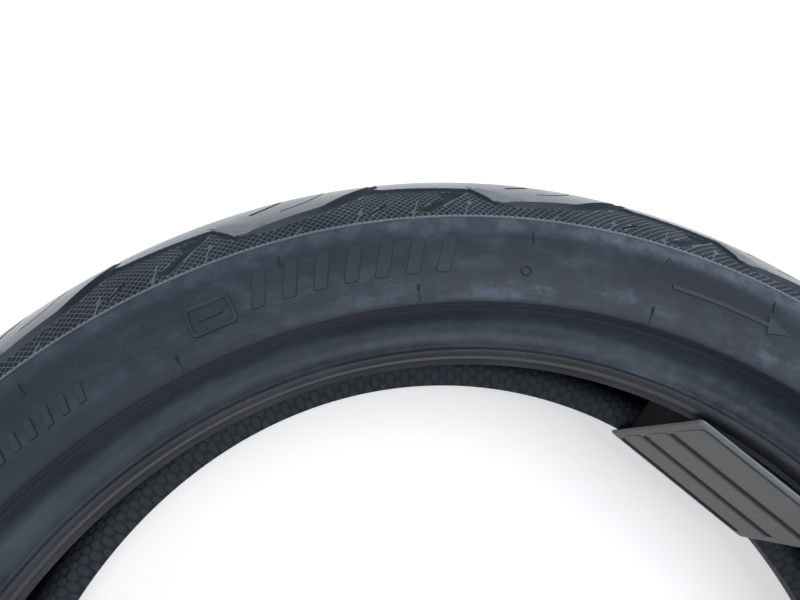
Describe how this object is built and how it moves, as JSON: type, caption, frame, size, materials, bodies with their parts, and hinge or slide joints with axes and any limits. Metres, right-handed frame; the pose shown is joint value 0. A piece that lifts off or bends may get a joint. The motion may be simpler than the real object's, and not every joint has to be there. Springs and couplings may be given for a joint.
{
  "type": "motorcycle tyre",
  "caption": "Tubeless motorcycle tyre with a directional grooved tread, layered carcass, wire beads and removable plastic bead spreaders.",
  "frame": {"origin": "centre of the tyre, on its axle line and midway between the beads", "axes": "+Z along the axle line, up as the tyre lies flat; +Y away from the viewer of the picture; +X to the right"},
  "size_m": [0.624, 0.624, 0.16],
  "materials": {
    "tread_rubber": "satin moulded tread rubber",
    "base_rubber": "matte",
    "cord_fabric": "rubberised cord",
    "liner_rubber": "matte, with a moulded cell pattern",
    "sidewall_rubber": "satin with a pale bloom",
    "chafer_rubber": "matte",
    "bead_steel": "bronze coated wire",
    "spreader_plastic": "moulded, slightly textured"
  },
  "bodies": {
    "tyre": {"tread_cap": "tread_rubber", "tread_base": "base_rubber", "breaker_outer": "cord_fabric", "breaker_inner": "cord_fabric", "carcass_ply_outer": "cord_fabric", "carcass_ply_inner": "cord_fabric", "inner_liner": "liner_rubber", "sidewall_upper": "sidewall_rubber", "sidewall_lower": "sidewall_rubber", "chafer_upper": "chafer_rubber", "chafer_lower": "chafer_rubber", "bead_filler_upper": "base_rubber", "bead_filler_lower": "base_rubber", "bead_wrap_upper": "cord_fabric", "bead_wrap_lower": "cord_fabric", "bead_wire_upper": "bead_steel", "bead_wire_lower": "bead_steel"},
    "spreader_1": {"bead_spreader_1": "spreader_plastic"},
    "spreader_2": {"bead_spreader_2": "spreader_plastic"},
    "spreader_3": {"bead_spreader_3": "spreader_plastic"}
  },
  "joints": [
    {"name": "spreader_1_pull", "type": "slide", "parent": "tyre", "child": "spreader_1", "axis": [-0.8387, -0.5446, 0], "range_m": [0, 0.045]},
    {"name": "spreader_2_pull", "type": "slide", "parent": "tyre", "child": "spreader_2", "axis": [0.891, -0.454, 0], "range_m": [0, 0.045]},
    {"name": "spreader_3_pull", "type": "slide", "parent": "tyre", "child": "spreader_3", "axis": [-0.0523, 0.9986, 0], "range_m": [0, 0.045]}
  ]
}
